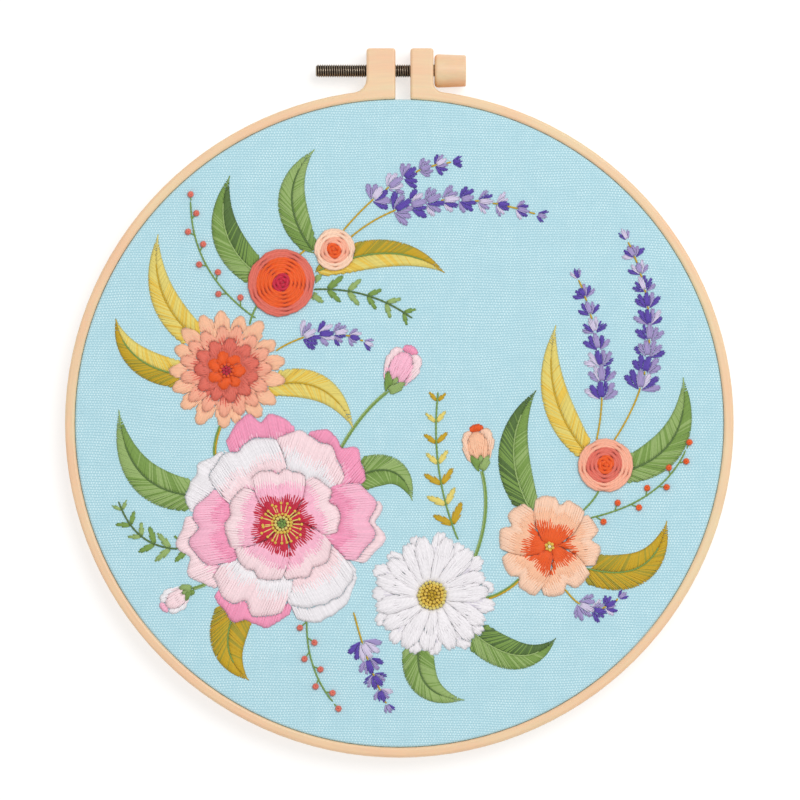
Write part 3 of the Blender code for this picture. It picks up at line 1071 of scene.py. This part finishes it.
leaves = [
    # start, bend, tip, width, the two halves' colours, vein
    ((-54, -22), (-84, -26), (-86, 4), 11.0, ("sage", "leafGreen"), "darkGreen"),
    ((-56, 22), (-78, 34), (-74, 58), 9.0, ("straw", "straw"), "mustard"),
    ((-38, 42), (-60, 54), (-52, 76), 10.0, ("leafGreen", "darkGreen"), "sage"),
    ((-26, 52), (-40, 70), (-26, 84), 9.0, ("sage", "sage"), "darkGreen"),
    ((-26, 46), (-2, 58), (14, 46), 9.0, ("mustard", "straw"), "leafGreen"),
    ((-44, 10), (-22, 18), (-14, -2), 9.0, ("straw", "straw"), "mustard"),
    ((-22, -22), (0, -6), (4, -24), 10.0, ("sage", "leafGreen"), "darkGreen"),
    ((-44, -48), (-60, -68), (-46, -79), 12.0, ("mustard", "mustard"), "leafGreen"),
    ((8, -60), (0, -84), (20, -85), 10.0, ("sage", "sage"), "darkGreen"),
    ((16, -58), (36, -80), (48, -66), 10.0, ("darkGreen", "leafGreen"), "sage"),
    ((50, -42), (78, -54), (82, -30), 11.0, ("mustard", "mustard"), "leafGreen"),
    ((42, -30), (28, -8), (42, 10), 10.0, ("darkGreen", "leafGreen"), "sage"),
    ((64, -16), (90, -12), (87, 14), 10.5, ("sage", "leafGreen"), "darkGreen"),
    ((60, -12), (42, 6), (48, 30), 9.0, ("straw", "straw"), "mustard"),
    ((-58, 14), (-84, 14), (-87, 32), 9.0, ("mustard", "straw"), "leafGreen"),
]

sprigs = [
    # start, bend, end, pairs of leaves, their size, colours and rib
    ((-34, 40), (-12, 44), (4, 32), 6, 6.5, ("sage", "leafGreen"), "darkGreen"),
    ((18, -36), (9, -14), (12, 10), 7, 6.5, ("mustard", "straw"), "leafGreen"),
    ((-60, -38), (-80, -42), (-86, -24), 6, 6.0, ("leafGreen", "sage"), "darkGreen"),
]

berrySprigs = [
    # start, bend, end, how many, colour, rib
    ((-44, 32), (-64, 46), (-64, 68), 8, "coral", "leafGreen"),
    ((54, -30), (80, -26), (88, -8), 8, "orange", "leafGreen"),
    ((-28, -56), (-30, -74), (-20, -86), 7, "coral", "leafGreen"),
]


def sewSprigs():
    pile = newPile()
    for start, bend, end, count, size, colours, rib in sprigs:
        sprig(pile, start, bend, end, count, size, colours, rib)
    for start, bend, end, count, colour, rib in berrySprigs:
        berries(pile, start, bend, end, count, colour, rib)
    sew("sprigStitches", pile)


def sewLeaves():
    for half, name in enumerate(("outerLeafStitches", "innerLeafStitches")):
        pile = newPile()
        for start, bend, tip, width, colours, vein in leaves[half::2]:
            leaf(pile, start, bend, tip, width, colours, vein)
        sew(name, pile)


def sewStems():
    pile = newPile()
    for start, bend, end, whorls, size in lavenders:
        stem(pile, start, bend, end, ["mustard"], width=0.5)
    for foot, heading, size, colours, start, bend in buds:
        stem(pile, start, bend, foot, ["leafGreen", "sage"], width=0.5)
    for start, bend, end, colours in (
        ((-52, 4), (-60, -8), (-54, -18), ["leafGreen", "mustard"]),
        ((20, -54), (32, -56), (42, -42), ["mustard", "leafGreen"]),
        ((46, -32), (60, -28), (63, -16), ["leafGreen"]),
        ((-46, 30), (-44, 38), (-38, 42), ["leafGreen"]),
        ((-34, 48), (-28, 56), (-18, 56), ["mustard"]),
    ):
        stem(pile, start, bend, end, colours)
    sew("stemStitches", pile)


sewRose()
sewDaisy()
sewDahlia()
sewPrimrose()
sewWovenRoses()
sewLavender()
sewBuds()
sewSprigs()
sewLeaves()
sewStems()
print("embroidery sewn")


screw = {
    "pitch": 0.70 * mm,
    "rootDepth": 0.36 * mm,
    "rowsPerTurn": 10,
    "around": 30,
    "chamfer": 0.55 * mm,
}


def steelMaterial():
    material, tree, shader = newMaterial("bronzedSteel")
    crest = tree.nodes.new("ShaderNodeAttribute")
    crest.attribute_name = "crest"
    where = tree.nodes.new("ShaderNodeTexCoord").outputs["Object"]
    worn = maths(tree, "MULTIPLY", spread(tree, crest.outputs["Fac"], 0.45, 0.95), spread(tree, noise(tree, where, 900.0), 0.3, 0.6, 0.5, 1.0))
    tone = mixColour(tree, worn, rgba("#3a2c25"), rgba("#a89a86"))
    tree.links.new(tone, shader.inputs["Base Color"])
    shader.inputs["Metallic"].default_value = 0.9
    tree.links.new(spread(tree, worn, 0.0, 1.0, 0.5, 0.28), shader.inputs["Roughness"])
    tree.links.new(bump(tree, noise(tree, where, 4000.0), 0.00001, 0.5), shader.inputs["Normal"])
    return material


def buildScrew():
    axisY, axisZ = (screwLow.y + screwHigh.y) / 2, (screwLow.z + screwHigh.z) / 2
    radius = (screwHigh.z - screwLow.z) / 2
    length = screwHigh.x - screwLow.x
    rows = int(length / screw["pitch"] * screw["rowsPerTurn"])
    around = screw["around"]
    turn = np.arange(around) * 2 * math.pi / around
    points, crests = [], []
    for row in range(rows + 1):
        x = length * row / rows
        phase = 2 * math.pi * x / screw["pitch"] - turn
        wave = np.clip(0.5 + 0.85 * np.cos(phase), 0.0, 1.0)
        fromEnd = min(x, length - x)
        limit = radius - screw["chamfer"] * max(0.0, 1 - fromEnd / screw["chamfer"])
        r = np.minimum(radius - screw["rootDepth"] * (1 - wave), limit)
        points.append(np.stack([np.full(around, screwLow.x + x), axisY + r * np.cos(turn), axisZ + r * np.sin(turn)], 1))
        crests.append(wave)
    points.append(np.array([[screwLow.x, axisY, axisZ], [screwHigh.x, axisY, axisZ]]))
    crests.append(np.array([0.6, 0.6]))
    points, crests = np.concatenate(points), np.concatenate(crests)
    faces = []
    for row in range(rows):
        for i in range(around):
            j = (i + 1) % around
            faces.append((row * around + i, row * around + j, (row + 1) * around + j, (row + 1) * around + i))
    tip, end, last = (rows + 1) * around, (rows + 1) * around + 1, rows * around
    for i in range(around):
        j = (i + 1) % around
        faces.append((tip, j, i))
        faces.append((end, last + i, last + j))
    mesh = bpy.data.meshes.new("threadedScrew")
    mesh.from_pydata(points.tolist(), [], faces)
    crestLayer = mesh.attributes.new("crest", "FLOAT", "POINT")
    crestLayer.data.foreach_set("value", crests.astype(np.float32))
    mesh.shade_smooth()
    mesh.set_sharp_from_angle(angle=math.radians(50))
    made = addObject("threadedScrew", mesh, steelMaterial())
    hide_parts("screw")
    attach(made, "tension_screw")
    return made


buildScrew()
print("screw threaded")
